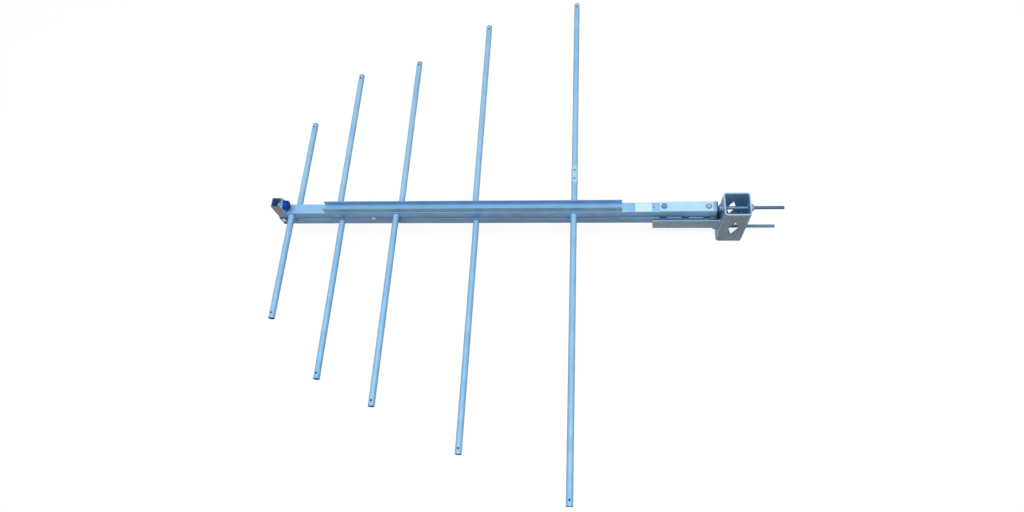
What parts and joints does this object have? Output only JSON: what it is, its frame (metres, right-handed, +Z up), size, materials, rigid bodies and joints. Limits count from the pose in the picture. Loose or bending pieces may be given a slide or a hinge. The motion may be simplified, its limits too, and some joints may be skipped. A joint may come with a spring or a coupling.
{
  "type": "log-periodic antenna",
  "caption": "Log-periodic dipole antenna with twin square booms, alternating tube dipoles, a cable tray, a capped coaxial socket and a square steel mast bracket with threaded rods.",
  "frame": {"origin": "midway between the two mast studs, on the outer face of the nuts that hold them to the rear wall of the mast box", "axes": "+X from the nose towards the mast and along the studs, +Y across along the dipoles, +Z up, towards the cable tray side"},
  "size_m": [1.4649, 1.607, 0.185],
  "materials": {
    "boom": "satin extruded",
    "dipole": "satin drawn tube",
    "bright_aluminium": "bright mill",
    "tray": "satin",
    "galvanised": "dull zinc coating",
    "threaded_steel": "zinc plated",
    "stainless": "satin",
    "nose_metal": "dull",
    "plated": "plated",
    "contact": "bright",
    "black_plastic": "matte",
    "white_plastic": "matte",
    "label": "smooth film",
    "blue_plastic": "semi gloss"
  },
  "bodies": {
    "root": {"upper_boom": "boom", "lower_boom": "boom", "dipole_one_near": "dipole", "dipole_one_far": "dipole", "dipole_two_near": "dipole", "dipole_two_far": "dipole", "dipole_three_near": "dipole", "dipole_three_far": "dipole", "dipole_four_near": "dipole", "dipole_four_far": "dipole", "dipole_five_near": "dipole", "dipole_five_far": "dipole", "splice_sleeve": "bright_aluminium", "splice_screws": "stainless", "root_slugs": "bright_aluminium", "root_screws": "stainless", "tip_plugs": "black_plastic", "cable_tray": "tray", "tray_rivets": "bright_aluminium", "clamp_plate": "bright_aluminium", "rear_end_plate": "black_plastic", "rear_spacers": "black_plastic", "front_spacer": "black_plastic", "spacer_screw": "stainless", "bare_label": "label", "cover_screw": "stainless", "mast_box": "galvanised", "boom_channel": "galvanised", "bracket_welds": "galvanised", "upper_stud": "threaded_steel", "lower_stud": "threaded_steel", "stud_nuts": "threaded_steel", "stud_washers": "threaded_steel", "boom_bolts": "stainless", "boom_bolt_nuts": "stainless", "boom_bolt_washers": "stainless", "bolt_sleeves": "stainless", "nose_box": "nose_metal", "nose_block": "black_plastic", "feed_bolt": "stainless", "socket_body": "plated", "socket_bead": "white_plastic", "socket_pin": "contact", "flange_screws": "stainless", "dust_cap": "blue_plastic"}
  },
  "joints": []
}
